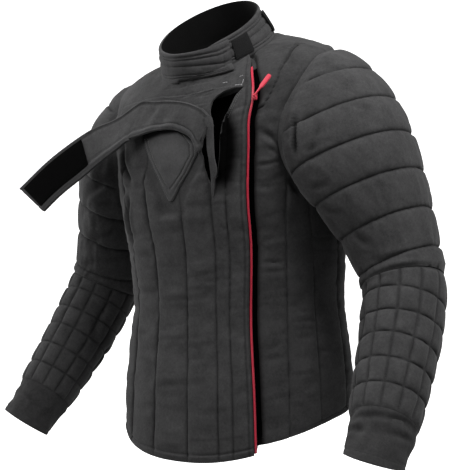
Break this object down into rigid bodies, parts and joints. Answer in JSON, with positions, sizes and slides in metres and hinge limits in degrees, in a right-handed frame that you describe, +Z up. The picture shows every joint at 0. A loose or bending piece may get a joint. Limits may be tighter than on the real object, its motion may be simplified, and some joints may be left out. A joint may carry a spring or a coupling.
{
  "type": "fencing jacket",
  "caption": "Quilted padded fencing jacket with standing collar, offset front zip and open throat strap, filled out as worn.",
  "frame": {"origin": "middle of the neckline, where the wearer's neck and shoulders hold the jacket", "axes": "+Z up, the wearer faces -Y, the wearer's left is +X"},
  "size_m": [0.792, 0.3444, 0.7508],
  "materials": {
    "charcoal_cloth": "matte, slightly napped",
    "black_webbing": "matte hook, loop and webbing",
    "red_zip": "satin"
  },
  "bodies": {
    "jacket": {"right_front": "charcoal_cloth", "left_front": "charcoal_cloth", "back": "charcoal_cloth", "upper_sleeve_left": "charcoal_cloth", "upper_sleeve_right": "charcoal_cloth", "forearm_left": "charcoal_cloth", "forearm_right": "charcoal_cloth", "cuff_left": "charcoal_cloth", "cuff_right": "charcoal_cloth", "collar": "charcoal_cloth", "throat_strap": "charcoal_cloth", "strap_leg": "charcoal_cloth", "chest_patch": "charcoal_cloth", "underlap": "charcoal_cloth", "collar_loop_patch": "black_webbing", "collar_keeper": "black_webbing", "strap_hook_patch": "black_webbing", "zip_chain": "red_zip", "zip_slider": "red_zip"},
    "pull": {"zip_pull": "red_zip"}
  },
  "joints": [
    {"name": "pull_swing", "type": "hinge", "parent": "jacket", "child": "pull", "pos_m": [0.13992, -0.09144, -0.08951], "axis": [0.7894, 0.2128, -0.5758], "range_deg": [0, 120]}
  ]
}
